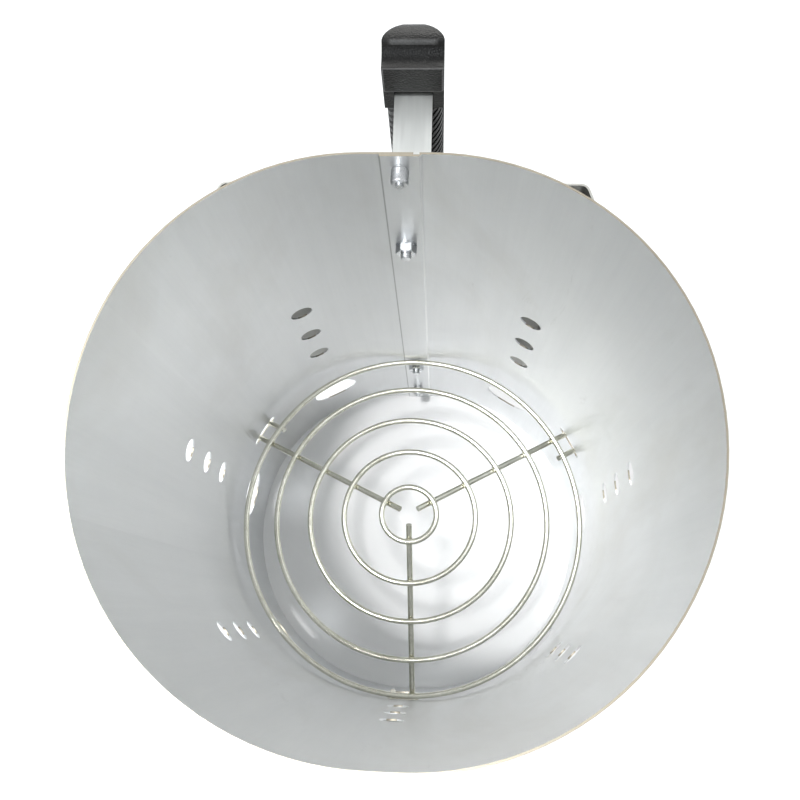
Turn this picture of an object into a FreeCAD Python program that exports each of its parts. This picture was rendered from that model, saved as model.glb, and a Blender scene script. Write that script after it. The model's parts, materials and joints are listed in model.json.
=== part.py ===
import FreeCAD, Part
import math
import os

# Charcoal chimney starter: an open sheet-steel cylinder with a cone of wire rings inside, a strap handle
# with a two-part plastic grip behind a heat shield, and a wire bail hinged on the shield.
# Millimetres, +Z up. The part stands on its bottom rim. +Y points from the cylinder to the handle.
# Lengths along Y below are measured from the cylinder's axis. At the end everything is moved along Y so that
# the origin is the middle of the whole part's bounding box.

V = FreeCAD.Vector
X_DIR = V(1, 0, 0)
Y_DIR = V(0, 1, 0)
Z_DIR = V(0, 0, 1)

# Cylinder wall: round, a little flattened at the handle side and at the front
HEIGHT = 305.0
SHEET = 0.7
WALL_R = 95.8
BACK_FLAT_Y = 88.0
BACK_RIGHT_SHOULDER_R = 85.4
BACK_LEFT_SHOULDER_R = 82.9
FRONT_FLAT_Y = 93.3
FRONT_RIGHT_SHOULDER_R = 88.6
FRONT_LEFT_SHOULDER_R = 92.3

# Lap seam at the handle side
LAP_LEFT_X = -6.3
LAP_RIGHT_X = 6.1
LAP_BEVEL = 0.9
OUTER_LAYER_END_X = 4.4
OUTER_LAYER_START_X = 6.3

# Air holes in columns round the wall
COLUMN_COUNT = 7
COLUMN_FIRST_DEG = 121.7
COLUMN_PITCH_DEG = 48.9
VENT_R = 5.0
VENT_HEIGHTS = (180.0, 150.0, 120.0)
INLET_R = 12.7
INLET_HEIGHT = 46.0

# Wire grate
WIRE_R = 1.4
GRATE_Y = -3.0
RING_RADII = (87.8, 69.8, 50.9, 32.6, 13.3)
CONE_DEG = 27.2
SPOKE_REF_R = 96.8
SPOKE_REF_Z = 76.5
SPOKE_INNER_R = 5.0
SPOKE_NAMES = ("grate_spoke_right", "grate_spoke_left", "grate_spoke_front")
SPOKE_DEGS = (32.0, 152.0, 272.0)
HAIRPIN_R = 4.9
HAIRPIN_REACH = 2.2
RETURN_LEGS_INSIDE = (11.5, 11.5, 4.6)
WELD_SINK = 0.12
SLIT_LENGTH = 18.5
SLIT_HEIGHT = 4.8

# Handle fasteners
SCREW_HEIGHTS = (238.5, 76.0)
SCREW_R = 2.0
SCREW_HOLE_R = 2.2
SCREW_END_Y = 80.6
SCREW_HEAD_R = 4.0
SCREW_HEAD_H = 2.6
CROSS_WIDTH = 1.1
CROSS_LENGTH = 4.4
CROSS_DEPTH = 1.5
WASHER_R = 4.1
WASHER_T = 0.8
NUT_FLATS = 7.0
NUT_T = 3.2
BORE_PLAY = 0.02

# Seam rivets
RIVET_HEIGHTS = (297.0, 25.5)
RIVET_R = 2.4
RIVET_HEAD_R = 4.7
RIVET_HEAD_H = 1.3
RIVET_TAIL_R = 2.9
RIVET_TAIL_LENGTH = 5.6
RIVET_BORE_R = 1.35
MANDREL_R = 1.3
MANDREL_PROUD = 0.7

# Heat shield
SHIELD_T = 0.7
SHIELD_FLAT_HALF = 58.6
SHIELD_BEND_R = 3.0
SHIELD_BEND_DEG = 70.0
SHIELD_FLANGE = 12.5
SHIELD_TOP = 284.0
SHIELD_BOTTOM = 52.0
SHIELD_CORNER_R = 5.0

# Handle strap
STRAP_W = 16.0
STRAP_T = 2.0
STRAP_FOOT_BEND_R = 4.0
STRAP_GRIP_BEND_R = 6.0
UPPER_ARM_Z = 218.0
LOWER_ARM_Z = 98.0
STRAP_TOP_Z = 249.0
STRAP_BOTTOM_Z = 67.0
STRAP_OUTER_Y = 173.0
STRAP_CORNER_R = 4.0

# Grip
GRIP_HALF_W = 12.7
GRIP_FACE_Y = 161.4
GRIP_BACK_Y = 187.3
GRIP_SIDE_END_Y = 177.5
GRIP_CORNER_R = 3.0
GRIP_EDGE_CHAMFER = 0.9
GRIP_BOTTOM_Z = 87.0
CAP_EDGE_Z = 238.4
CAP_SCOOP_Y = 167.2
CAP_SCOOP_Z = 236.4
CAP_CREST_Y = 173.0
CAP_CREST_Z = 239.6
CAP_DOME_Y = 183.4
CAP_DOME_Z = 235.8
CAP_SHOULDER_Z = 226.5
CAP_ARCH_TILT_DEG = 35.0
CAP_ARCH_RISE = 6.9
CAP_LIP_R = 0.6
CHEEK_FACE_Y = 162.4
CHEEK_TOP_Z = 222.6
CHEEK_LOW_Z = 208.9
CHEEK_HIGH_Z = 103.8
CAP_SLOT_TOP_Z = 222.0
END_SLOT_Z = 96.9
CHANNEL_HALF_W = 8.2
CHANNEL_PLAY = 0.05
FINGER_FACE_Y = 162.2
FINGER_BACK_Y = 171.9
FINGER_HALF_W = 12.3
FINGER_CORNER_R = 7.0
FINGER_BOTTOM_Z = 104.2
FINGER_TOP_Z = 208.5
RIB_PITCH = 4.85
RIB_GROOVE_W = 1.3
RIB_GROOVE_DEPTH = 0.9
RIB_SLOPE_DEG = 52.0
GRIP_SCREW_HEIGHTS = (190.0, 126.0)
GRIP_SCREW_R = 1.45
GRIP_SCREW_HOLE_R = 1.5
GRIP_SCREW_HEAD_R = 3.0
GRIP_SCREW_HEAD_H = 1.8
GRIP_SCREW_SINK = 3.4
GRIP_SCREW_END_Y = 166.0
COUNTERBORE_R = 3.3

# Wire bail, hinged in the shield's flanges and hanging against the front of the wall
BAIL_R = 1.7
BAIL_HOLE_PLAY = 0.08
HINGE_Y = 80.6
HINGE_Z = 245.0
BAIL_END_X = 58.6
BAIL_KNEE_X = 73.0
BAIL_LEG_X = 101.5
BAIL_LEG_START = 46.0
BAIL_BOW_START = 94.0
BAIL_KNEE_R = 6.0
BAIL_ELBOW_R = 15.0
BAIL_REST_DEG = 25.2
RETAINER_R = 3.6
RETAINER_T = 1.2
RETAINER_X = 59.6


def keep(name, solids):
    """Put a node's solids, still in the cylinder's frame, on the list of nodes to write."""
    shape = solids[0] if len(solids) == 1 else Part.makeCompound(solids)
    finished.append((name, shape))


def one_solid(shape):
    """Return the single solid of a boolean result."""
    clean = shape.removeSplitter()
    return clean.Solids[0]


def arc(centre, radius, start_deg, end_deg):
    """Arc edge in the XY plane, from one polar angle to another."""
    points = []
    for deg in (start_deg, (start_deg + end_deg) / 2.0, end_deg):
        a = math.radians(deg)
        points.append(V(centre[0] + radius * math.cos(a), centre[1] + radius * math.sin(a), 0))
    return Part.Arc(points[0], points[1], points[2]).toShape()


def shoulder_centre(flat_y, radius):
    """Centre (to the right, above) of a shoulder arc tangent to a flat at flat_y and to the main circle."""
    centre_y = flat_y - radius
    centre_x = math.sqrt((WALL_R - radius) ** 2 - centre_y ** 2)
    return centre_x, centre_y


def wall_face(inset):
    """Outline of the wall's cross-section, moved inwards by inset."""
    main_r = WALL_R - inset
    corners = []
    for flat_y, radius, side, front in (
        (BACK_FLAT_Y, BACK_RIGHT_SHOULDER_R, 1.0, 1.0),
        (FRONT_FLAT_Y, FRONT_RIGHT_SHOULDER_R, 1.0, -1.0),
        (FRONT_FLAT_Y, FRONT_LEFT_SHOULDER_R, -1.0, -1.0),
        (BACK_FLAT_Y, BACK_LEFT_SHOULDER_R, -1.0, 1.0),
    ):
        x, y = shoulder_centre(flat_y, radius)
        centre = (side * x, front * y)
        main_deg = math.degrees(math.atan2(centre[1], centre[0]))
        corners.append((centre, radius - inset, main_deg))
    back_y = BACK_FLAT_Y - inset
    front_y = inset - FRONT_FLAT_Y
    br, fr, fl, bl = corners
    edges = [
        Part.makeLine(V(bl[0][0], back_y, 0), V(br[0][0], back_y, 0)),
        arc(br[0], br[1], 90.0, br[2]),
        arc((0, 0), main_r, br[2], fr[2]),
        arc(fr[0], fr[1], fr[2], -90.0),
        Part.makeLine(V(fr[0][0], front_y, 0), V(fl[0][0], front_y, 0)),
        arc(fl[0], fl[1], -90.0, fl[2] - 360.0 if fl[2] > 0 else fl[2]),
        arc((0, 0), main_r, fl[2] - 360.0 if fl[2] > 0 else fl[2], bl[2] - 360.0),
        arc(bl[0], bl[1], bl[2] - 360.0, -270.0),
    ]
    return Part.Face(Part.Wire(edges))


def radial_tool(shape, centre_y, deg, height):
    """Place a tool made along +X so that it points outwards at the given polar angle and height."""
    placed = shape.copy()
    placed.rotate(V(0, 0, 0), Z_DIR, deg)
    placed.translate(V(0, centre_y, height))
    return placed


def spoke_z(radius):
    """Height of the spoke's centre line at a distance from the grate's axis."""
    return SPOKE_REF_Z + (SPOKE_REF_R - radius) * math.tan(math.radians(CONE_DEG))


def spoke_wall_r(deg):
    """Distance from the grate's axis to the middle of the wall, along the middle of a hairpin."""
    a = math.radians(deg)
    along = V(math.cos(a), math.sin(a), 0)
    start = V(0, GRATE_Y, 0) + V(math.sin(a), -math.cos(a), 0) * HAIRPIN_R
    probe = Part.makeLine(start, start + along * (2 * WALL_R))
    hit = wall_face(SHEET / 2.0).OuterWire.distToShape(probe)[1][0][1]
    return (hit - start).Length


def slit_tool():
    """Rounded slot across the wall, along +X, centred on the hairpin."""
    half = SLIT_LENGTH / 2.0 - SLIT_HEIGHT / 2.0
    depth = 24.0
    start_x = 84.0
    bar = Part.makeBox(depth, 2 * half, SLIT_HEIGHT, V(start_x, -half - HAIRPIN_R, -SLIT_HEIGHT / 2.0))
    for side in (-half, half):
        end = Part.makeCylinder(SLIT_HEIGHT / 2.0, depth, V(start_x, side - HAIRPIN_R, 0), X_DIR)
        bar = bar.fuse(end)
    return bar


def make_body():
    """Sheet cylinder with lap seam, air holes, screw and rivet holes and the slits for the grate."""
    outer = wall_face(0.0).extrude(V(0, 0, HEIGHT))
    inner = wall_face(SHEET).extrude(V(0, 0, HEIGHT))
    body = outer.cut(inner)
    top_y = BACK_FLAT_Y - SHEET
    low_y = BACK_FLAT_Y - 2 * SHEET
    corners = [
        V(LAP_LEFT_X, top_y, 0),
        V(LAP_LEFT_X, low_y, 0),
        V(LAP_RIGHT_X, low_y, 0),
        V(LAP_RIGHT_X + LAP_BEVEL, top_y, 0),
        V(LAP_LEFT_X, top_y, 0),
    ]
    body = body.fuse(Part.Face(Part.makePolygon(corners)).extrude(V(0, 0, HEIGHT)))
    gap_w = OUTER_LAYER_START_X - OUTER_LAYER_END_X
    gap = Part.makeBox(gap_w, SHEET, HEIGHT, V(OUTER_LAYER_END_X, top_y, 0))
    body = body.cut(gap)
    tools = []
    hole_start = 80.0
    hole_length = 24.0
    for column in range(COLUMN_COUNT):
        deg = COLUMN_FIRST_DEG + column * COLUMN_PITCH_DEG
        for height in VENT_HEIGHTS:
            vent = Part.makeCylinder(VENT_R, hole_length, V(hole_start, 0, 0), X_DIR)
            tools.append(radial_tool(vent, 0.0, deg, height))
        inlet = Part.makeCylinder(INLET_R, hole_length, V(hole_start, 0, 0), X_DIR)
        tools.append(radial_tool(inlet, 0.0, deg, INLET_HEIGHT))
    for deg in SPOKE_DEGS:
        height = spoke_z(spoke_wall_r(deg))
        tools.append(radial_tool(slit_tool(), GRATE_Y, deg, height))
    for height in SCREW_HEIGHTS:
        tools.append(Part.makeCylinder(SCREW_HOLE_R, hole_length, V(0, hole_start, height), Y_DIR))
    for height in RIVET_HEIGHTS:
        tools.append(Part.makeCylinder(RIVET_R, hole_length, V(0, hole_start, height), Y_DIR))
    return one_solid(body.cut(Part.makeCompound(tools)))


def make_rivets():
    """Blind rivets through the lap seam, with the mandrel stubs left inside them."""
    rivets = []
    mandrels = []
    for height in RIVET_HEIGHTS:
        inside_y = BACK_FLAT_Y - 2 * SHEET
        tail_y = inside_y - RIVET_TAIL_LENGTH
        shank = Part.makeCylinder(RIVET_R, BACK_FLAT_Y - tail_y, V(0, tail_y, height), Y_DIR)
        tail = Part.makeCylinder(RIVET_TAIL_R, RIVET_TAIL_LENGTH, V(0, tail_y, height), Y_DIR)
        tail = tail.makeFillet(0.9, [e for e in tail.Edges if len(e.Vertexes) == 1])
        head = Part.makeCylinder(RIVET_HEAD_R, RIVET_HEAD_H, V(0, BACK_FLAT_Y, height), Y_DIR)
        head = head.makeFillet(1.0, [e for e in head.Edges if e.CenterOfMass.y > BACK_FLAT_Y + 1.0
                                     and len(e.Vertexes) == 1])
        bore_length = BACK_FLAT_Y + RIVET_HEAD_H - tail_y
        bore = Part.makeCylinder(RIVET_BORE_R, bore_length, V(0, tail_y, height), Y_DIR)
        rivets.append(one_solid(head.fuse([shank, tail]).cut(bore)))
        start_y = tail_y - MANDREL_PROUD
        stub = Part.makeCylinder(MANDREL_R, bore_length - 1.0 + MANDREL_PROUD, V(0, start_y, height), Y_DIR)
        mandrels.append(stub)
    return rivets, mandrels


def make_screws():
    """Pan-head screws with a cross recess, through strap, shield and wall."""
    screws = []
    under_head_y = BACK_FLAT_Y + SHIELD_T + STRAP_T
    for height in SCREW_HEIGHTS:
        shank = Part.makeCylinder(SCREW_R, under_head_y - SCREW_END_Y, V(0, SCREW_END_Y, height), Y_DIR)
        shank = shank.makeChamfer(0.4, [e for e in shank.Edges if e.CenterOfMass.y < SCREW_END_Y + 0.1])
        head = Part.makeCylinder(SCREW_HEAD_R, SCREW_HEAD_H, V(0, under_head_y, height), Y_DIR)
        top_y = under_head_y + SCREW_HEAD_H
        head = head.makeFillet(1.2, [e for e in head.Edges if e.CenterOfMass.y > top_y - 0.1])
        cross_y = top_y - CROSS_DEPTH
        half = CROSS_LENGTH / 2.0
        thin = CROSS_WIDTH / 2.0
        bar = Part.makeBox(CROSS_LENGTH, CROSS_DEPTH, CROSS_WIDTH, V(-half, cross_y, height - thin))
        post = Part.makeBox(CROSS_WIDTH, CROSS_DEPTH, CROSS_LENGTH, V(-thin, cross_y, height - half))
        screws.append(one_solid(head.fuse(shank).cut(bar.fuse(post))))
    return screws


def make_washers_and_nuts():
    """Toothed lock washers and hexagon nuts on the inside of the lap seam."""
    washers = []
    nuts = []
    inside_y = BACK_FLAT_Y - 2 * SHEET
    tooth_count = 10
    corner_r = NUT_FLATS / 2.0 / math.cos(math.pi / 6.0)
    for height in SCREW_HEIGHTS:
        washer_y = inside_y - WASHER_T
        washer = Part.makeCylinder(WASHER_R, WASHER_T, V(0, washer_y, height), Y_DIR)
        hole = Part.makeCylinder(SCREW_R + BORE_PLAY, WASHER_T, V(0, washer_y, height), Y_DIR)
        cuts = [hole]
        for tooth in range(tooth_count):
            notch = Part.makeBox(1.2, WASHER_T, 1.0, V(WASHER_R - 0.9, washer_y, -0.5))
            notch.rotate(V(0, 0, 0), Y_DIR, 360.0 * tooth / tooth_count)
            notch.translate(V(0, 0, height))
            cuts.append(notch)
        washers.append(one_solid(washer.cut(Part.makeCompound(cuts))))
        nut_y = washer_y - NUT_T
        corners = []
        for corner in range(7):
            a = math.radians(60.0 * corner)
            corners.append(V(corner_r * math.cos(a), nut_y, height + corner_r * math.sin(a)))
        nut = Part.Face(Part.makePolygon(corners)).extrude(V(0, NUT_T, 0))
        rim_cone = Part.makeCone(corner_r - 0.35, corner_r + 2.0, NUT_T + 1.2, V(0, nut_y, height), Y_DIR)
        bore = Part.makeCylinder(SCREW_R + BORE_PLAY, NUT_T, V(0, nut_y, height), Y_DIR)
        nuts.append(one_solid(nut.common(rim_cone).cut(bore)))
    return washers, nuts


def ribbon(start, heading_deg, moves, thickness):
    """Face of a bent strip. moves are (length, 0, 0) for a run or (0, radius, turn_deg) for a bend."""
    sides = []
    for offset in (thickness / 2.0, -thickness / 2.0):
        x, y = start
        heading = math.radians(heading_deg)
        edges = []
        for length, radius, turn in moves:
            nx, ny = -math.sin(heading), math.cos(heading)
            if length > 0:
                x2 = x + length * math.cos(heading)
                y2 = y + length * math.sin(heading)
                first = V(x + offset * nx, y + offset * ny, 0)
                edges.append(Part.makeLine(first, V(x2 + offset * nx, y2 + offset * ny, 0)))
                x, y = x2, y2
                continue
            sign = 1.0 if turn > 0 else -1.0
            cx = x + sign * radius * nx
            cy = y + sign * radius * ny
            side_r = radius - sign * offset
            from_deg = math.degrees(heading) - 90.0 * sign
            edges.append(arc((cx, cy), side_r, from_deg, from_deg + turn))
            heading += math.radians(turn)
            x = cx + sign * radius * math.sin(heading)
            y = cy - sign * radius * math.cos(heading)
        sides.append(edges)
    left = sides[0]
    right = sides[1]
    first_cap = Part.makeLine(right[0].Vertexes[0].Point, left[0].Vertexes[0].Point)
    last_cap = Part.makeLine(left[-1].Vertexes[-1].Point, right[-1].Vertexes[-1].Point)
    loop = Part.__sortEdges__(left + [last_cap] + right + [first_cap])
    return Part.Face(Part.Wire(loop))


def make_shield():
    """Folded plate between wall and strap, its side flanges turned back towards the wall."""
    mid_y = BACK_FLAT_Y + SHIELD_T / 2.0
    half_moves = [
        (SHIELD_FLANGE, 0, 0),
        (0, SHIELD_BEND_R, SHIELD_BEND_DEG),
        (2 * SHIELD_FLAT_HALF, 0, 0),
        (0, SHIELD_BEND_R, SHIELD_BEND_DEG),
        (SHIELD_FLANGE, 0, 0),
    ]
    bend = math.radians(SHIELD_BEND_DEG)
    start_x = SHIELD_FLAT_HALF + SHIELD_BEND_R * math.sin(bend) + SHIELD_FLANGE * math.cos(bend)
    start_y = mid_y - SHIELD_BEND_R * (1.0 - math.cos(bend)) - SHIELD_FLANGE * math.sin(bend)
    face = ribbon((start_x, start_y), 180.0 - SHIELD_BEND_DEG, half_moves, SHIELD_T)
    face.translate(V(0, 0, SHIELD_BOTTOM))
    shield = face.extrude(V(0, 0, SHIELD_TOP - SHIELD_BOTTOM))
    tips = []
    for edge in shield.Edges:
        centre = edge.CenterOfMass
        at_end = min(abs(centre.z - SHIELD_TOP), abs(centre.z - SHIELD_BOTTOM)) < 0.01
        if at_end and abs(edge.Length - SHIELD_T) < 0.01 and centre.y < start_y + 1.0:
            tips.append(edge)
    shield = shield.makeFillet(SHIELD_CORNER_R, tips)
    tools = []
    for height in SCREW_HEIGHTS:
        tools.append(Part.makeCylinder(SCREW_HOLE_R, 10.0, V(0, BACK_FLAT_Y - 5.0, height), Y_DIR))
    hole_r = BAIL_R + BAIL_HOLE_PLAY
    tools.append(Part.makeCylinder(hole_r, 200.0, V(-100.0, HINGE_Y, HINGE_Z), X_DIR))
    return one_solid(shield.cut(Part.makeCompound(tools)))


def make_strap():
    """Bent flat strap: two feet on the shield, two arms and the upright inside the grip."""
    foot_y = BACK_FLAT_Y + SHIELD_T + STRAP_T / 2.0
    arm = STRAP_OUTER_Y - foot_y - STRAP_FOOT_BEND_R - STRAP_GRIP_BEND_R
    upright = UPPER_ARM_Z - LOWER_ARM_Z - 2 * STRAP_GRIP_BEND_R
    moves = [
        (STRAP_TOP_Z - UPPER_ARM_Z - STRAP_FOOT_BEND_R, 0, 0),
        (0, STRAP_FOOT_BEND_R, 90.0),
        (arm, 0, 0),
        (0, STRAP_GRIP_BEND_R, -90.0),
        (upright, 0, 0),
        (0, STRAP_GRIP_BEND_R, -90.0),
        (arm, 0, 0),
        (0, STRAP_FOOT_BEND_R, 90.0),
        (LOWER_ARM_Z - STRAP_BOTTOM_Z - STRAP_FOOT_BEND_R, 0, 0),
    ]
    face = ribbon((foot_y, STRAP_TOP_Z), -90.0, moves, STRAP_T)
    strap = face.extrude(V(0, 0, STRAP_W))
    # the strip is drawn in XY; turn it so that its X runs along +Y and its Y along +Z
    strap.rotate(V(0, 0, 0), V(1, 1, 1), 120.0)
    strap.translate(V(-STRAP_W / 2.0, 0, 0))
    tips = []
    for edge in strap.Edges:
        centre = edge.CenterOfMass
        at_end = min(abs(centre.z - STRAP_TOP_Z), abs(centre.z - STRAP_BOTTOM_Z)) < 0.01
        if at_end and abs(edge.Length - STRAP_T) < 0.01:
            tips.append(edge)
    strap = strap.makeFillet(STRAP_CORNER_R, tips)
    tools = []
    for height in SCREW_HEIGHTS:
        tools.append(Part.makeCylinder(SCREW_HOLE_R, 10.0, V(0, foot_y - 5.0, height), Y_DIR))
    for height in GRIP_SCREW_HEIGHTS:
        tools.append(Part.makeCylinder(GRIP_SCREW_HOLE_R, 10.0, V(0, STRAP_OUTER_Y - 5.0, height), Y_DIR))
    return one_solid(strap.cut(Part.makeCompound(tools)))


def grip_plan_face():
    """Plan outline of the grip: square to the fingers, bowed to the palm."""
    c = GRIP_EDGE_CHAMFER
    w = GRIP_HALF_W
    bow = Part.Arc(V(w, GRIP_SIDE_END_Y, 0), V(0, GRIP_BACK_Y, 0), V(-w, GRIP_SIDE_END_Y, 0)).toShape()
    edges = [
        Part.makeLine(V(-w + c, GRIP_FACE_Y, 0), V(w - c, GRIP_FACE_Y, 0)),
        Part.makeLine(V(w - c, GRIP_FACE_Y, 0), V(w, GRIP_FACE_Y + c, 0)),
        Part.makeLine(V(w, GRIP_FACE_Y + c, 0), V(w, GRIP_SIDE_END_Y, 0)),
        bow,
        Part.makeLine(V(-w, GRIP_SIDE_END_Y, 0), V(-w, GRIP_FACE_Y + c, 0)),
        Part.makeLine(V(-w, GRIP_FACE_Y + c, 0), V(-w + c, GRIP_FACE_Y, 0)),
    ]
    return Part.Face(Part.Wire(edges))


def cap_arch():
    """Tilted bar with an elliptic top that rounds the thumb cap off towards the palm."""
    w = GRIP_HALF_W + 0.05
    low = -2.0 * (CAP_CREST_Z - GRIP_BOTTOM_Z)
    edges = [
        Part.Ellipse(V(0, 0, 0), w, CAP_ARCH_RISE).toShape(0.0, math.pi),
        Part.makeLine(V(-w, 0, 0), V(-w, low, 0)),
        Part.makeLine(V(-w, low, 0), V(w, low, 0)),
        Part.makeLine(V(w, low, 0), V(w, 0, 0)),
    ]
    bar = Part.Face(Part.Wire(edges)).extrude(V(0, 0, -1.5 * low))
    bar.translate(V(0, 0, low))
    bar.rotate(V(0, 0, 0), X_DIR, CAP_ARCH_TILT_DEG)
    bar.translate(V(0, CAP_CREST_Y, CAP_CREST_Z))
    return bar


def make_grip_back():
    """Palm half of the grip with the thumb cap at the top and the end block at the bottom."""
    plan = grip_plan_face().extrude(V(0, 0, HEIGHT))
    corners = []
    for edge in plan.Edges:
        centre = edge.CenterOfMass
        if abs(edge.Length - HEIGHT) < 0.01 and abs(centre.y - GRIP_SIDE_END_Y) < 0.01:
            corners.append(edge)
    plan = plan.makeFillet(GRIP_CORNER_R, corners)
    w = GRIP_HALF_W + 1.0
    side = [
        Part.makeLine(V(-w, GRIP_FACE_Y, GRIP_BOTTOM_Z), V(-w, GRIP_FACE_Y, CAP_EDGE_Z)),
        Part.Arc(V(-w, GRIP_FACE_Y, CAP_EDGE_Z), V(-w, CAP_SCOOP_Y, CAP_SCOOP_Z),
                 V(-w, CAP_CREST_Y, CAP_CREST_Z)).toShape(),
        Part.Arc(V(-w, CAP_CREST_Y, CAP_CREST_Z), V(-w, CAP_DOME_Y, CAP_DOME_Z),
                 V(-w, GRIP_BACK_Y, CAP_SHOULDER_Z)).toShape(),
        Part.makeLine(V(-w, GRIP_BACK_Y, CAP_SHOULDER_Z), V(-w, GRIP_BACK_Y, GRIP_BOTTOM_Z)),
        Part.makeLine(V(-w, GRIP_BACK_Y, GRIP_BOTTOM_Z), V(-w, GRIP_FACE_Y, GRIP_BOTTOM_Z)),
    ]
    profile = Part.Face(Part.Wire(side)).extrude(V(2 * w, 0, 0))
    grip = plan.common(profile).common(cap_arch())
    bottom = [e for e in grip.Edges if e.BoundBox.ZMax < GRIP_BOTTOM_Z + 0.01]
    grip = grip.makeFillet(1.5, bottom)
    crest = [e for e in grip.Edges if abs(e.CenterOfMass.y - CAP_CREST_Y) < 0.01
             and abs(e.CenterOfMass.z - CAP_CREST_Z) < 0.01]
    grip = grip.makeFillet(1.2, crest)
    lip = [e for e in grip.Edges if abs(e.CenterOfMass.y - GRIP_FACE_Y) < 0.01
           and abs(e.CenterOfMass.z - CAP_EDGE_Z) < 0.01]
    grip = grip.makeFillet(CAP_LIP_R, lip)
    ch = CHANNEL_HALF_W
    seat_y = STRAP_OUTER_Y + STRAP_T / 2.0 + CHANNEL_PLAY
    front_y = GRIP_FACE_Y - 2.0
    open_h = CHEEK_LOW_Z - CHEEK_HIGH_Z
    cheek_h = CHEEK_TOP_Z - CHEEK_LOW_Z
    wide = 2 * GRIP_HALF_W + 4.0
    part_y = FINGER_BACK_Y + CHANNEL_PLAY
    cuts = [
        Part.makeBox(wide, CHEEK_FACE_Y - front_y, cheek_h, V(-wide / 2.0, front_y, CHEEK_LOW_Z)),
        Part.makeBox(wide, part_y - front_y, open_h, V(-wide / 2.0, front_y, CHEEK_HIGH_Z)),
        Part.makeBox(2 * ch, seat_y - part_y + 1.0, open_h, V(-ch, part_y - 1.0, CHEEK_HIGH_Z)),
        Part.makeBox(2 * ch, seat_y - front_y, CAP_SLOT_TOP_Z - CHEEK_LOW_Z, V(-ch, front_y, CHEEK_LOW_Z)),
        Part.makeBox(2 * ch, seat_y - front_y, CHEEK_HIGH_Z - END_SLOT_Z, V(-ch, front_y, END_SLOT_Z)),
    ]
    for height in GRIP_SCREW_HEIGHTS:
        cuts.append(Part.makeCylinder(GRIP_SCREW_HOLE_R, 20.0, V(0, part_y, height), Y_DIR))
        bore_y = GRIP_BACK_Y - GRIP_SCREW_SINK
        cuts.append(Part.makeCylinder(COUNTERBORE_R, 10.0, V(0, bore_y, height), Y_DIR))
    result = grip
    for tool in cuts:
        result = result.cut(tool)
    return one_solid(result)


def finger_plan(inset):
    """Plan outline of the finger half, moved inwards by inset."""
    w = FINGER_HALF_W - inset
    r = FINGER_CORNER_R - inset
    face_y = FINGER_FACE_Y + inset
    corner_y = FINGER_FACE_Y + FINGER_CORNER_R
    corner_x = FINGER_HALF_W - FINGER_CORNER_R
    edges = [
        Part.makeLine(V(-corner_x, face_y, 0), V(corner_x, face_y, 0)),
        arc((corner_x, corner_y), r, -90.0, 0.0),
        Part.makeLine(V(w, corner_y, 0), V(w, FINGER_BACK_Y, 0)),
        Part.makeLine(V(w, FINGER_BACK_Y, 0), V(-w, FINGER_BACK_Y, 0)),
        Part.makeLine(V(-w, FINGER_BACK_Y, 0), V(-w, corner_y, 0)),
        arc((-corner_x, corner_y), r, 180.0, 270.0),
    ]
    return Part.Face(Part.Wire(edges))


def make_grip_front():
    """Finger half of the grip with slanted ribs."""
    length = FINGER_TOP_Z - FINGER_BOTTOM_Z
    full = finger_plan(0.0)
    full.translate(V(0, 0, FINGER_BOTTOM_Z))
    full = full.extrude(V(0, 0, length))
    core = finger_plan(RIB_GROOVE_DEPTH)
    core.translate(V(0, 0, FINGER_BOTTOM_Z))
    core = core.extrude(V(0, 0, length))
    slabs = []
    span = 2 * FINGER_HALF_W * math.tan(math.radians(RIB_SLOPE_DEG))
    count = int((length + span) / RIB_PITCH) + 1
    reach = 60.0
    for index in range(count):
        corner = V(-reach / 2.0, FINGER_FACE_Y - 4.0, -RIB_GROOVE_W / 2.0)
        slab = Part.makeBox(reach, 20.0, RIB_GROOVE_W, corner)
        slab.rotate(V(0, 0, 0), Y_DIR, -RIB_SLOPE_DEG)
        slab.translate(V(0, 0, FINGER_BOTTOM_Z - span / 2.0 + (index + 0.5) * RIB_PITCH))
        slabs.append(slab)
    ribbed = full.cut(slabs)
    pad = ribbed.fuse(core)
    for height in GRIP_SCREW_HEIGHTS:
        hole_length = FINGER_BACK_Y - GRIP_SCREW_END_Y + 1.0
        hole = Part.makeCylinder(GRIP_SCREW_HOLE_R, hole_length, V(0, GRIP_SCREW_END_Y - 0.5, height), Y_DIR)
        pad = pad.cut(hole)
    return one_solid(pad)


def make_grip_screws():
    """Small screws, sunk in the palm half, that hold both halves on the strap."""
    screws = []
    seat_y = GRIP_BACK_Y - GRIP_SCREW_SINK
    for height in GRIP_SCREW_HEIGHTS:
        tip = V(0, GRIP_SCREW_END_Y, height)
        shank = Part.makeCylinder(GRIP_SCREW_R, seat_y - GRIP_SCREW_END_Y, tip, Y_DIR)
        head = Part.makeCylinder(GRIP_SCREW_HEAD_R, GRIP_SCREW_HEAD_H, V(0, seat_y, height), Y_DIR)
        top_y = seat_y + GRIP_SCREW_HEAD_H
        head = head.makeFillet(0.8, [e for e in head.Edges if e.CenterOfMass.y > top_y - 0.1])
        slot_y = top_y - 0.9
        bar = Part.makeBox(3.2, 1.0, 0.8, V(-1.6, slot_y, height - 0.4))
        post = Part.makeBox(0.8, 1.0, 3.2, V(-0.4, slot_y, height - 1.6))
        screws.append(one_solid(head.fuse(shank).cut(bar.fuse(post))))
    return screws


def wire_solid(edges, radius):
    """Round wire along tangent runs and arcs."""
    path = Part.Wire(edges)
    first = path.Edges[0]
    start = first.valueAt(first.FirstParameter)
    tangent = first.tangentAt(first.FirstParameter)
    if first.Orientation == "Reversed":
        start = first.valueAt(first.LastParameter)
        tangent = first.tangentAt(first.LastParameter)
    profile = Part.Wire(Part.makeCircle(radius, start, tangent))
    return path.makePipeShell([profile], True, False)


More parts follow.
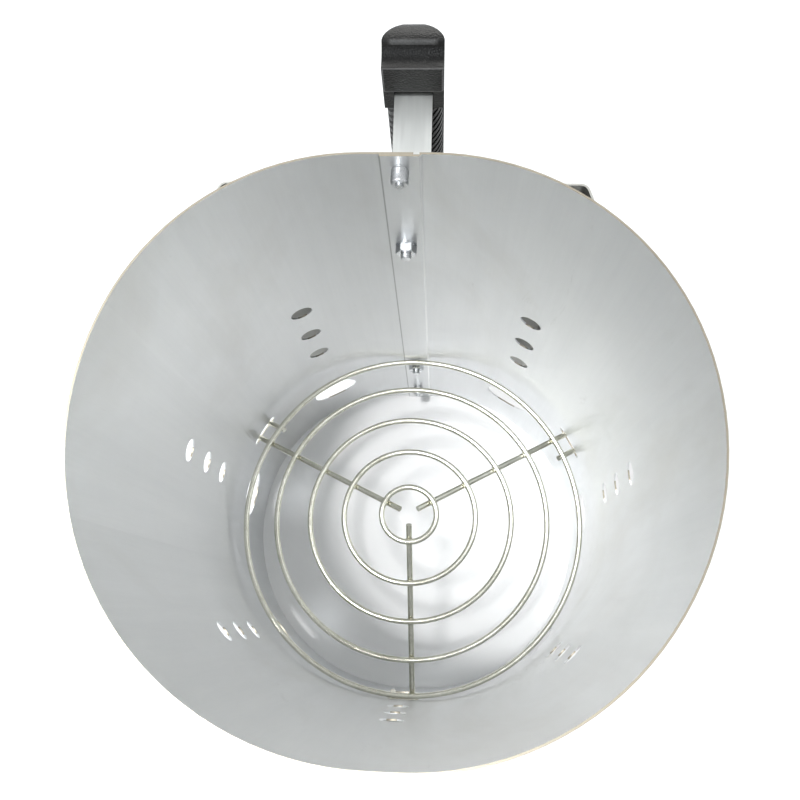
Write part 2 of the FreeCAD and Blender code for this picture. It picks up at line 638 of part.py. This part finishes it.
def make_spoke(deg, leg_inside):
    """Straight spoke that leaves through a slit, turns in a hairpin and comes back under the first ring."""
    cos_cone = math.cos(math.radians(CONE_DEG))
    wall_r = spoke_wall_r(deg)
    bend_r = wall_r + HAIRPIN_REACH
    start = 0.0
    bend = (bend_r - SPOKE_INNER_R) / cos_cone
    inside = (wall_r - leg_inside - SPOKE_INNER_R) / cos_cone
    centre_y = -HAIRPIN_R
    edges = [
        Part.makeLine(V(start, 0, 0), V(bend, 0, 0)),
        Part.Arc(V(bend, 0, 0), V(bend + HAIRPIN_R, centre_y, 0), V(bend, 2 * centre_y, 0)).toShape(),
        Part.makeLine(V(bend, 2 * centre_y, 0), V(inside, 2 * centre_y, 0)),
    ]
    spoke = wire_solid(edges, WIRE_R)
    spoke.rotate(V(0, 0, 0), Y_DIR, CONE_DEG)
    spoke.translate(V(SPOKE_INNER_R, 0, spoke_z(SPOKE_INNER_R)))
    spoke.rotate(V(0, 0, 0), Z_DIR, deg)
    spoke.translate(V(0, GRATE_Y, 0))
    return spoke


def make_ring(radius):
    """Wire ring that lies on the spokes."""
    lift = (2 * WIRE_R - WELD_SINK) / math.cos(math.radians(CONE_DEG))
    return Part.makeTorus(radius, WIRE_R, V(0, GRATE_Y, spoke_z(radius) + lift), Z_DIR)


def rounded_path(points, radii):
    """Edges through points with a tangent arc at each inner point."""
    edges = []
    here = points[0]
    for index in range(1, len(points) - 1):
        corner = points[index]
        back = (points[index - 1] - corner).normalize()
        ahead = (points[index + 1] - corner).normalize()
        half = back.getAngle(ahead) / 2.0
        trim = radii[index - 1] / math.tan(half)
        first = corner + back * trim
        last = corner + ahead * trim
        middle_dir = (back + ahead).normalize()
        middle = corner + middle_dir * (radii[index - 1] / math.sin(half) - radii[index - 1])
        edges.append(Part.makeLine(here, first))
        edges.append(Part.Arc(first, middle, last).toShape())
        here = last
    edges.append(Part.makeLine(here, points[-1]))
    return edges


def make_bail():
    """Wire bail in its own plane, then tipped down about the hinge until it hangs at the front."""
    knee_radii = [BAIL_KNEE_R, BAIL_ELBOW_R]
    right = [
        V(BAIL_END_X, 0, 0),
        V(BAIL_KNEE_X, 0, 0),
        V(BAIL_LEG_X, -BAIL_LEG_START, 0),
        V(BAIL_LEG_X, -BAIL_BOW_START, 0),
    ]
    left = [V(-p.x, p.y, 0) for p in reversed(right)]
    edges = rounded_path(right, knee_radii)
    bow_front = V(0, -BAIL_BOW_START - BAIL_LEG_X, 0)
    edges.append(Part.Arc(right[-1], bow_front, left[0]).toShape())
    edges += rounded_path(left, list(reversed(knee_radii)))
    bail = wire_solid(edges, BAIL_R)
    bail.rotate(V(0, 0, 0), X_DIR, BAIL_REST_DEG)
    bail.translate(V(0, HINGE_Y, HINGE_Z))
    retainers = []
    for side in (-1.0, 1.0):
        start_x = RETAINER_X if side > 0 else -RETAINER_X - RETAINER_T
        ring = Part.makeCylinder(RETAINER_R, RETAINER_T, V(start_x, HINGE_Y, HINGE_Z), X_DIR)
        ring = ring.makeChamfer(0.3, [e for e in ring.Edges if len(e.Vertexes) == 1])
        hole = Part.makeCylinder(BAIL_R, RETAINER_T, V(start_x, HINGE_Y, HINGE_Z), X_DIR)
        retainers.append(one_solid(ring.cut(hole)))
    return bail, retainers


finished = []
keep("body_shell", [make_body()])
seam_rivets, rivet_mandrels = make_rivets()
keep("seam_rivets", seam_rivets)
keep("rivet_mandrels", rivet_mandrels)
keep("strap_screws", make_screws())
lock_washers, hex_nuts = make_washers_and_nuts()
keep("lock_washers", lock_washers)
keep("hex_nuts", hex_nuts)
keep("heat_shield", [make_shield()])
keep("handle_strap", [make_strap()])
keep("grip_palm_half", [make_grip_back()])
keep("grip_finger_half", [make_grip_front()])
keep("grip_screws", make_grip_screws())
for number, ring_radius in enumerate(RING_RADII, start=1):
    keep("grate_ring_%d" % number, [make_ring(ring_radius)])
for spoke_name, spoke_deg, leg in zip(SPOKE_NAMES, SPOKE_DEGS, RETURN_LEGS_INSIDE):
    keep(spoke_name, [make_spoke(spoke_deg, leg)])
bail_wire, bail_retainers = make_bail()
keep("bail_wire", [bail_wire])
keep("bail_retainers", bail_retainers)

boxes = [shape.optimalBoundingBox(True, True) for name, shape in finished]
middle_y = (min(box.YMin for box in boxes) + max(box.YMax for box in boxes)) / 2.0
os.makedirs("parts", exist_ok=True)
for name, shape in finished:
    placed = shape.copy()
    placed.translate(V(0, -middle_y, 0))
    placed.exportStep("parts/%s.step" % name)
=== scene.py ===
import json
import math
import random

import bmesh
import bpy
from mathutils import Matrix, Vector


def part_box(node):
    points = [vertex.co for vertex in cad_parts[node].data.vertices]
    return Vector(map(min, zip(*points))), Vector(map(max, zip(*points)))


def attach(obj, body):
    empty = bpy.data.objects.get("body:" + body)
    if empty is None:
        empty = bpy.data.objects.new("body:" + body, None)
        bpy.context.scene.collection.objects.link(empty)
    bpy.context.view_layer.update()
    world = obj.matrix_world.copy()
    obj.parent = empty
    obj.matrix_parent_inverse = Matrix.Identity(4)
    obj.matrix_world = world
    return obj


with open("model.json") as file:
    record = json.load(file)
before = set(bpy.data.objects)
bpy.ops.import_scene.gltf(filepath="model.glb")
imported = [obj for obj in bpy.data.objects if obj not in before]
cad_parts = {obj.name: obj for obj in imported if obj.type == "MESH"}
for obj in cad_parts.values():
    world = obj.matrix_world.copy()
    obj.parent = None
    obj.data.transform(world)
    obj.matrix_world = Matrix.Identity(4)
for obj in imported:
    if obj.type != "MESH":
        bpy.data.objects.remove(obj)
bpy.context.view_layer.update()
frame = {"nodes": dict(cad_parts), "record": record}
nodes = frame["nodes"]
rng = random.Random(11)
MM = 0.001

# ---------------------------------------------------------------- colours, and how strongly each is laid on
TONE_STOPS = (0.30, 0.50, 0.70)     # where a metal's dark, middle and light tones stand in its noise
SMUDGE = (0.60, 0.585, 0.545)
SMUDGE_AMOUNT = 0.42
RUB_MARK = (0.47, 0.46, 0.44)
RUB_AMOUNT = 0.35
OUTSIDE_SHADE = (0.45, 0.46, 0.465)
OUTSIDE_SHADE_AMOUNT = 0.80
CREASE_SHADE = (0.26, 0.26, 0.25)
BEVEL_HIGHLIGHT = (0.98, 0.98, 0.97)
RAW_EDGE_REFLECTION = (0.37, 0.335, 0.27)
EDGE_HIGHLIGHT_GREY = (0.11, 0.11, 0.11)
PAPER_DARK = (0.895, 0.895, 0.895)
PAPER_LIGHT = (0.93, 0.93, 0.93)

# ---------------------------------------------------------------- marks on the wall and the grip
LAP_LEFT_X = -6.3 * MM        # painted shade: a dark line at the left edge of the wall's seam, where its cut edge casts a thin shadow
LAP_BEVEL_X = 6.5 * MM        # painted highlight along the bend at its right edge
CREASE_SHADE_HALF_WIDTH = 0.45 * MM
BEVEL_HIGHLIGHT_HALF_WIDTH = 0.6 * MM
SEAM_SIDE_Y = 30.0 * MM       # the seam's two lines are drawn only beyond this
RAW_EDGE_FACING = 0.9         # the sheet's cut edge faces up or down at least this much

FACE_DEPTH = 0.9 * MM         # the thumb cap's front face is what lies within this depth
LIP_Z = 238.2 * MM            # its top edge
BROW_Z = 222.9 * MM           # its lower edge
CREST_FROM_FACE = 11.6 * MM   # from the front face back to the cap's crest
CREST_OVER_Z = 238.6 * MM     # the crest's painted highlight lies above this
CREST_FADE_X = (8.5 * MM, 10.5 * MM)    # and fades out between these, to either side
LIP_HALF_WIDTH = 0.9 * MM
BROW_HALF_WIDTH = 0.5 * MM
CREST_HALF_WIDTH = 1.5 * MM
HIGHLIGHT_CORE = 0.2             # the even middle of a painted edge highlight, as a share of its half width

# ---------------------------------------------------------------- weld beads and screw threads
RING_COUNT = 5
SPOKE_DEGREES = (32.0, 152.0, 272.0)
CONE_ANGLE = math.radians(27.2)
BEAD_SIZE = (1.05 * MM, 1.15 * MM, 0.75 * MM)    # half its length round the ring, width and height
BEAD_LUMP = 0.08              # most that each of its four lumps adds or takes, as a share of its size
BEAD_DROP = 0.98              # down from the ring's middle, in wire radii
BEAD_ASIDE = 0.85             # to either side of the spoke, in wire radii

THREAD_RADIUS = 2.0 * MM
THREAD_PITCH = 0.7 * MM
THREAD_HEIGHT = 0.12 * MM
THREAD_ROOT = 0.03 * MM       # the ridge's feet lie this far inside the screw
THREAD_HALF_RIDGE = 0.46      # in pitches
THREAD_STEPS = 24             # per turn
THREAD_RUNOUT = 0.6           # turns in which the ridge grows at its start and fades at its end
THREAD_STUB = 0.02            # share of the height that is left at the very end
TIP_GAP = 0.2 * MM            # from the screw's tip to the thread
INTO_NUT = 0.3 * MM           # the thread goes this far into the nut

# ---------------------------------------------------------------- floor, lights and camera
FLOOR_HALF_SIZE = 6.0
FLOOR_Z = -0.2 * MM
WORLD_COLOUR = (0.96, 0.98, 1.0, 1.0)
WORLD_STRENGTH = 0.72
KEY_POWER = 19.0
WELL_POWER = 122.0
BACK_POWER = 34.0
WELL_ANGLE = math.radians(8.2)
WELL_EDGE_BLEND = 0.5
WELL_RADIUS = 0.12

# found by fitting the object's rims, rings, holes and seam to the photograph
CAMERA_PLACE = Vector((0.01527, -0.09581, 0.55729))
CAMERA_RIGHT = Vector((0.997871, 0.035305, -0.054833))
CAMERA_BACK = Vector((0.061088, -0.211617, 0.975442))
CAMERA_SENSOR_MM = 36.0
CAMERA_LENS_MM = 40.356
CAMERA_SHIFT_X = 0.0155
CAMERA_SHIFT_Y = 0.0298
CAMERA_CLIP_START = 0.01


# ---------------------------------------------------------------- material helpers
class Material:
    """One procedural material: a Principled shader, and short calls for the nodes that feed it."""

    def __init__(self, name, metallic, roughness, specular=0.5):
        self.material = bpy.data.materials.new(name)
        self.material.use_nodes = True
        self.tree = self.material.node_tree
        self.tree.nodes.clear()
        output = self.tree.nodes.new("ShaderNodeOutputMaterial")
        self.shader = self.tree.nodes.new("ShaderNodeBsdfPrincipled")
        self.tree.links.new(self.shader.outputs["BSDF"], output.inputs["Surface"])
        self.shader.inputs["Metallic"].default_value = metallic
        self.shader.inputs["Roughness"].default_value = roughness
        self.shader.inputs["Specular IOR Level"].default_value = specular
        self.coordinates = self.tree.nodes.new("ShaderNodeTexCoord").outputs

    def node(self, kind, inputs, **settings):
        """Add a shader node. Each input is another node's output, which is linked, or a plain value."""
        made = self.tree.nodes.new("ShaderNode" + kind)
        for key, value in settings.items():
            setattr(made, key, value)
        for key, value in inputs.items():
            if isinstance(value, bpy.types.NodeSocket):
                self.tree.links.new(value, made.inputs[key])
            else:
                made.inputs[key].default_value = value
        return made

    def place(self, stretch=(1, 1, 1)):
        """Object space. A stretch below 1 draws a texture out along that axis."""
        inputs = {"Vector": self.coordinates["Object"], "Scale": stretch}
        return self.node("Mapping", inputs).outputs["Vector"]

    def axes(self, vector):
        """The X, Y and Z parts of a vector."""
        return self.node("SeparateXYZ", {"Vector": vector}).outputs

    def noise(self, vector, scale, detail, rough, distortion=0.0):
        inputs = {"Vector": vector, "Scale": scale, "Detail": detail}
        inputs.update({"Roughness": rough, "Distortion": distortion})
        return self.node("TexNoise", inputs).outputs["Fac"]

    def cells(self, vector, scale):
        """Distance from the middle of the nearest random cell."""
        return self.node("TexVoronoi", {"Vector": vector, "Scale": scale}).outputs["Distance"]

    def calc(self, operation, *terms, clamp=False):
        """One step of arithmetic on outputs and numbers."""
        made = self.node("Math", dict(enumerate(terms)), operation=operation, use_clamp=clamp)
        return made.outputs["Value"]

    def remap(self, value, old_range, new_range):
        """Straight line from one range to the other, level past its ends."""
        inputs = {"Value": value}
        inputs.update(zip(("From Min", "From Max"), old_range))
        inputs.update(zip(("To Min", "To Max"), new_range))
        return self.node("MapRange", inputs).outputs["Result"]

    def weighted(self, *parts):
        """Sum of outputs, each times its weight."""
        total = None
        for value, weight in parts:
            part = self.calc("MULTIPLY", value, weight)
            total = part if total is None else self.calc("ADD", total, part)
        return total

    def soft_line(self, value, middle, half_width, gain, core=0.0):
        """Line where value is near middle, fading out from core to the whole of half_width."""
        away = self.calc("ABSOLUTE", self.calc("SUBTRACT", value, middle))
        return self.remap(away, (core * half_width, half_width), (gain, 0.0))

    def ramp(self, value, stops):
        made = self.node("ValToRGB", {"Fac": value})
        elements = made.color_ramp.elements
        while len(elements) < len(stops):
            elements.new(0.5)
        for element, (position, colour) in zip(elements, stops):
            element.position = position
            element.color = (*colour, 1.0)
        return made.outputs["Color"]

    def mix(self, amount, under, over):
        """A plain colour over another node's. The Mix node takes colours at 6 and 7 and gives one at 2."""
        inputs = {0: amount, 6: under, 7: (*over, 1.0)}
        return self.node("Mix", inputs, data_type="RGBA", blend_type="MIX").outputs[2]

    def set_colour(self, output):
        self.tree.links.new(output, self.shader.inputs["Base Color"])

    def set_roughness(self, output):
        self.tree.links.new(output, self.shader.inputs["Roughness"])

    def set_bump(self, height, relief, depth):
        made = self.node("Bump", {"Height": height, "Strength": relief, "Distance": depth})
        self.tree.links.new(made.outputs["Normal"], self.shader.inputs["Normal"])


class Metal(Material):
    """Rolled, drawn or plated metal: cloudy tone, and fine grain that may be drawn out along an axis."""

    def __init__(self, name, tones, rough, stretch=(1, 1, 1)):
        super().__init__(name, metallic=1.0, roughness=sum(rough) / 2.0)
        along_grain = self.place(stretch)
        self.grain = self.noise(along_grain, scale=900.0, detail=3.0, rough=0.6)
        broad = self.noise(along_grain, scale=120.0, detail=3.0, rough=0.55)
        self.cloud = self.noise(self.place(), scale=22.0, detail=4.0, rough=0.6, distortion=0.4)
        tone = self.weighted((self.grain, 0.30), (broad, 0.35), (self.cloud, 0.35))
        self.base = self.ramp(tone, list(zip(TONE_STOPS, tones)))
        self.set_colour(self.base)
        wear = self.weighted((self.grain, 0.5), (self.cloud, 0.5))
        self.set_roughness(self.remap(wear, (0.3, 0.7), rough))

    def tint(self, amount, colour):
        """Lay a colour over everything so far."""
        self.base = self.mix(amount, self.base, colour)
        self.set_colour(self.base)


# ---------------------------------------------------------------- materials
def grained(name, tones, rough, relief, depth, stretch=(1, 1, 1)):
    """Metal with its grain as the only relief. The tones go from dark to light."""
    metal = Metal(name, tones, rough, stretch)
    metal.set_bump(metal.grain, relief, depth)
    return metal


def wall_zinc():
    """Satin zinc-coated sheet, its grain up the cylinder."""
    tones = ((0.765, 0.778, 0.785), (0.81, 0.82, 0.825), (0.85, 0.86, 0.865))
    wall = Metal("wall_zinc", tones, rough=(0.34, 0.48), stretch=(1, 1, 0.04))

    # soft smudges, and small darker rub marks
    smudge = wall.noise(wall.place((1, 1, 0.45)), scale=9.0, detail=5.0, rough=0.62, distortion=0.8)
    wall.tint(wall.remap(smudge, (0.48, 0.70), (0.0, SMUDGE_AMOUNT)), SMUDGE)
    rub = wall.noise(wall.place((1, 1, 0.25)), scale=60.0, detail=4.0, rough=0.7, distortion=1.2)
    wall.tint(wall.remap(rub, (0.66, 0.80), (0.0, RUB_AMOUNT)), RUB_MARK)

    # painted shade: the outside, where the surface faces away from the cylinder's axis, is painted darker
    # than the inside, against the bright light that falls on it
    low, high = (Vector(p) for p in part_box("body_shell"))
    across, along = wall.axes(wall.coordinates["Object"])[:2]
    from_axis = wall.calc("SUBTRACT", along, (low.y + high.y) / 2.0)
    normal = wall.axes(wall.coordinates["Normal"])
    outward_x = wall.calc("MULTIPLY", normal[0], across)
    outward_y = wall.calc("MULTIPLY", normal[1], from_axis)
    outside = wall.calc("GREATER_THAN", wall.calc("ADD", outward_x, outward_y), 0.0)
    wall.tint(wall.calc("MULTIPLY", outside, OUTSIDE_SHADE_AMOUNT), OUTSIDE_SHADE)

    # the two edges of the lap seam: a painted shadow line along the left one, a painted highlight along the
    # right one
    seam_side = wall.calc("GREATER_THAN", along, SEAM_SIDE_Y)
    crease_shade = wall.soft_line(across, LAP_LEFT_X, CREASE_SHADE_HALF_WIDTH, gain=0.85)
    wall.tint(wall.calc("MULTIPLY", crease_shade, seam_side), CREASE_SHADE)
    # painted highlight where the seam's right edge bends
    bevel_highlight = wall.soft_line(across, LAP_BEVEL_X, BEVEL_HIGHLIGHT_HALF_WIDTH, gain=0.8)
    wall.tint(wall.calc("MULTIPLY", bevel_highlight, seam_side), BEVEL_HIGHLIGHT)

    # painted reflection: the sheet's cut edge, where it faces up or down, is painted tan for the warm light
    # it reflects
    raw_edge_reflection = wall.calc("GREATER_THAN", wall.calc("ABSOLUTE", normal[2]), RAW_EDGE_FACING)
    wall.tint(raw_edge_reflection, RAW_EDGE_REFLECTION)
    wall.set_bump(wall.weighted((wall.grain, 1.0), (wall.cloud, 2.0)), relief=0.10, depth=0.10 * MM)
    return wall


def grip_black():
    """Fine-grained black plastic, with painted highlights along the thumb cap's edges and crest."""
    grip = Material("grip_black", metallic=0.0, roughness=0.4, specular=0.19)
    place = grip.place()
    grain = grip.noise(place, scale=1500.0, detail=2.0, rough=0.6)
    pebble = grip.cells(place, scale=1100.0)
    cloud = grip.noise(place, scale=60.0, detail=4.0, rough=0.65)
    tone = grip.weighted((grain, 0.5), (cloud, 0.5))
    black = grip.ramp(tone, [(0.36, (0.002, 0.002, 0.002)), (0.50, (0.006, 0.006, 0.006)),
                             (0.64, (0.017, 0.017, 0.016))])

    face_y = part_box("grip_palm_half")[0][1]
    across, along, height = grip.axes(grip.coordinates["Object"])
    on_face = grip.calc("LESS_THAN", along, face_y + FACE_DEPTH)
    on_top = grip.calc("GREATER_THAN", height, CREST_OVER_Z)
    inside_fade = grip.remap(grip.calc("ABSOLUTE", across), CREST_FADE_X, (1.0, 0.0))
    # painted highlights: paler lines along the cap's lip, brow and crest, where light catches its edges
    lip = grip.soft_line(height, LIP_Z, LIP_HALF_WIDTH, gain=0.9, core=HIGHLIGHT_CORE)
    lip = grip.calc("MULTIPLY", lip, on_face)
    brow = grip.soft_line(height, BROW_Z, BROW_HALF_WIDTH, gain=0.7, core=HIGHLIGHT_CORE)
    brow = grip.calc("MULTIPLY", brow, on_face)
    crest = grip.soft_line(along, face_y + CREST_FROM_FACE, CREST_HALF_WIDTH, gain=0.8, core=HIGHLIGHT_CORE)
    crest = grip.calc("MULTIPLY", grip.calc("MULTIPLY", crest, on_top), inside_fade)
    edge_highlight = grip.calc("MAXIMUM", grip.calc("MAXIMUM", lip, brow), crest)
    edge_highlight = grip.calc("MULTIPLY", edge_highlight, grip.remap(tone, (0.3, 0.7), (0.6, 1.2)), clamp=True)

    grip.set_colour(grip.mix(edge_highlight, black, EDGE_HIGHLIGHT_GREY))
    grip.set_roughness(grip.remap(cloud, (0.3, 0.7), (0.34, 0.48)))
    grip.set_bump(grip.weighted((grain, 1.0), (pebble, 0.6)), relief=0.8, depth=0.22 * MM)
    return grip


def floor_paper():
    """Pale matt paper with a faint cloudiness."""
    paper = Material("floor_paper", metallic=0.0, roughness=0.55, specular=0.3)
    cloud = paper.noise(paper.place(), scale=16.0, detail=3.0, rough=0.5, distortion=0.6)
    paper.set_colour(paper.ramp(cloud, [(0.36, PAPER_DARK), (0.62, PAPER_LIGHT)]))
    return paper


MATERIALS = {
    "wall_steel": wall_zinc(),
    "shield_steel": grained(
        "shield_zinc", ((0.42, 0.415, 0.385), (0.48, 0.475, 0.445), (0.54, 0.535, 0.505)),
        rough=(0.36, 0.50), relief=0.12, depth=0.08 * MM, stretch=(0.04, 1, 1)),
    "strap_steel": grained(
        "strap_zinc", ((0.65, 0.66, 0.64), (0.71, 0.72, 0.70), (0.77, 0.78, 0.76)),
        rough=(0.42, 0.56), relief=0.14, depth=0.08 * MM, stretch=(1, 0.05, 1)),
    "grate_wire": grained(
        "grate_zinc", ((0.48, 0.47, 0.38), (0.70, 0.69, 0.60), (0.85, 0.84, 0.77)),
        rough=(0.14, 0.28), relief=0.15, depth=0.06 * MM),
    "bail_wire": grained(
        "bail_zinc", ((0.62, 0.61, 0.55), (0.76, 0.75, 0.70), (0.86, 0.85, 0.81)),
        rough=(0.16, 0.30), relief=0.15, depth=0.06 * MM),
    "fasteners": grained(
        "bright_zinc", ((0.60, 0.62, 0.64), (0.72, 0.735, 0.75), (0.84, 0.85, 0.86)),
        rough=(0.12, 0.26), relief=0.15, depth=0.05 * MM),
    "rivets": grained(
        "rivet_aluminium", ((0.62, 0.63, 0.64), (0.72, 0.73, 0.74), (0.82, 0.83, 0.84)),
        rough=(0.22, 0.36), relief=0.15, depth=0.05 * MM),
    "grip_plastic": grip_black(),
}
slot_of = {s["node"]: s["material_slot"] for s in frame["record"]["subparts"]}
for name, obj in nodes.items():
    material = MATERIALS[slot_of[name]].material
    if not obj.material_slots:
        obj.data.materials.append(material)
    for material_slot in obj.material_slots:
        material_slot.material = material


# ---------------------------------------------------------------- pieces on top of the frame
def new_piece(name, bm, body, slot):
    """Smooth object made from a bmesh, riding on a body, with the material of a slot."""
    mesh = bpy.data.meshes.new(name)
    bm.to_mesh(mesh)
    bm.free()
    for face in mesh.polygons:
        face.use_smooth = True
    obj = bpy.data.objects.new(name, mesh)
    bpy.context.scene.collection.objects.link(obj)
    obj.data.materials.append(MATERIALS[slot].material)
    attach(obj, body)


def ring_measures(node):
    """Centre, radius and wire radius of a ring, from its box."""
    low, high = (Vector(p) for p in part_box(node))
    wire = (high.z - low.z) / 2.0
    return (low + high) / 2.0, (high.x - low.x) / 2.0 - wire, wire


def weld_bead(bm, centre, around, up):
    """Uneven drop of weld metal: a squashed ball with small random lumps."""
    made = bmesh.ops.create_icosphere(bm, subdivisions=3, radius=1.0)["verts"]
    outward = up.cross(around).normalized()
    length, width, height = BEAD_SIZE
    lumps = [rng.uniform(-BEAD_LUMP, BEAD_LUMP) for _ in range(4)]
    for v in made:
        x, y, z = v.co
        grow = 1.0 + lumps[0] * x + lumps[1] * y + lumps[2] * x * y + lumps[3] * math.sin(3.0 * z)
        v.co = centre + (around * x * length + outward * y * width + up * z * height) * grow


def grate_welds():
    """Two beads at each crossing, under the ring and to either side of the spoke."""
    bm = bmesh.new()
    for number in range(1, RING_COUNT + 1):
        centre, radius, wire = ring_measures("grate_ring_%d" % number)
        for degrees in SPOKE_DEGREES:
            angle = math.radians(degrees)
            out = Vector((math.cos(angle), math.sin(angle), 0.0))
            around = Vector((-out.y, out.x, 0.0))
            along_spoke = out * math.cos(CONE_ANGLE) - Vector((0.0, 0.0, math.sin(CONE_ANGLE)))
            up = along_spoke.cross(around).normalized()
            touch = centre + out * radius - up * wire * BEAD_DROP
            for side in (1, -1):
                weld_bead(bm, touch + around * wire * BEAD_ASIDE * side, around, up)
    new_piece("grate_welds", bm, "grate", "grate_wire")


def thread(bm, axis_z, y_from, y_to):
    """Helical ridge of a screw's thread along +Y."""
    turns = (y_to - y_from) / THREAD_PITCH - 1.0
    last = int(turns * THREAD_STEPS)
    runout = THREAD_RUNOUT * THREAD_STEPS
    rows = []
    for step in range(last + 1):
        angle = 2 * math.pi * step / THREAD_STEPS
        taper = min(1.0, step / runout, (last - step) / runout + THREAD_STUB)
        y = y_from + THREAD_PITCH * (step / THREAD_STEPS + 0.5)
        foot = THREAD_RADIUS - THREAD_ROOT
        crown = THREAD_RADIUS + THREAD_HEIGHT * taper
        row = []
        for pitches, radius in ((-THREAD_HALF_RIDGE, foot), (0.0, crown), (THREAD_HALF_RIDGE, foot)):
            x, z = radius * math.cos(angle), radius * math.sin(angle)
            row.append(bm.verts.new((x, y + pitches * THREAD_PITCH, axis_z + z)))
        rows.append(row)
    for row, following in zip(rows, rows[1:]):
        for k in (0, 1):
            bm.faces.new((row[k], following[k], following[k + 1], row[k + 1]))


def screw_threads():
    """The strap screws stand out of their nuts inside the cylinder, with a visible thread."""
    tip = Vector(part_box("strap_screws")[0])
    nut_low, nut_high = (Vector(p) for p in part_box("hex_nuts"))
    nut_half = (nut_high.x - nut_low.x) / 2.0 * math.cos(math.pi / 6)
    bm = bmesh.new()
    for axis_z in (nut_low.z + nut_half, nut_high.z - nut_half):
        thread(bm, axis_z, tip.y + TIP_GAP, nut_low.y + INTO_NUT)
    new_piece("screw_threads", bm, "starter", "fasteners")


grate_welds()
screw_threads()

# ---------------------------------------------------------------- floor
floor_mesh = bpy.data.meshes.new("floor")
floor_grid = bmesh.new()
bmesh.ops.create_grid(floor_grid, x_segments=2, y_segments=2, size=FLOOR_HALF_SIZE)
floor_grid.to_mesh(floor_mesh)
floor_grid.free()
floor = bpy.data.objects.new("floor", floor_mesh)
bpy.context.scene.collection.objects.link(floor)
floor.location = (0, 0, FLOOR_Z)
floor.data.materials.append(floor_paper().material)

# ---------------------------------------------------------------- lights
world = bpy.data.worlds.new("studio")
bpy.context.scene.world = world
world.use_nodes = True
background = world.node_tree.nodes["Background"]
background.inputs["Color"].default_value = WORLD_COLOUR
background.inputs["Strength"].default_value = WORLD_STRENGTH


def aim(light, place, target):
    """Put a light in the scene at place, shining at target."""
    lamp = bpy.data.objects.new(light.name, light)
    bpy.context.scene.collection.objects.link(lamp)
    lamp.location = place
    lamp.rotation_euler = (Vector(target) - Vector(place)).to_track_quat("-Z", "Y").to_euler()


def panel(name, size, power, colour):
    """Rectangular area light."""
    light = bpy.data.lights.new(name, "AREA")
    light.shape = "RECTANGLE"
    light.size, light.size_y = size
    light.energy = power
    light.color = colour
    return light


# soft light from above, to the left
key = panel("key", (0.8, 0.8), KEY_POWER, (0.92, 0.97, 1.0))
aim(key, place=(-0.75, -0.25, 1.7), target=(0, -0.04, 0.1))
# beam that falls only into the open cylinder
well = bpy.data.lights.new("well", "SPOT")
well.energy = WELL_POWER
well.spot_size = WELL_ANGLE
well.spot_blend = WELL_EDGE_BLEND
well.shadow_soft_size = WELL_RADIUS
aim(well, place=(-0.26, -0.17, 1.87), target=(0, -0.043, 0.305))
# low light from behind, on the handle's side
back = panel("back", (1.6, 0.9), BACK_POWER, (1.0, 0.99, 0.96))
aim(back, place=(0.10, 1.9, 1.0), target=(0, 0.13, 0.2))

# ---------------------------------------------------------------- camera
cam_data = bpy.data.cameras.new("camera")
cam = bpy.data.objects.new("camera", cam_data)
bpy.context.scene.collection.objects.link(cam)
camera_up = CAMERA_BACK.cross(CAMERA_RIGHT).normalized()
placing = Matrix((CAMERA_RIGHT, camera_up, CAMERA_BACK)).transposed().to_4x4()
placing.translation = CAMERA_PLACE
cam.matrix_world = placing
cam_data.sensor_width = CAMERA_SENSOR_MM
cam_data.lens = CAMERA_LENS_MM
cam_data.shift_x = CAMERA_SHIFT_X
cam_data.shift_y = CAMERA_SHIFT_Y
cam_data.clip_start = CAMERA_CLIP_START
bpy.context.scene.camera = cam
bpy.context.scene.view_settings.view_transform = "Standard"
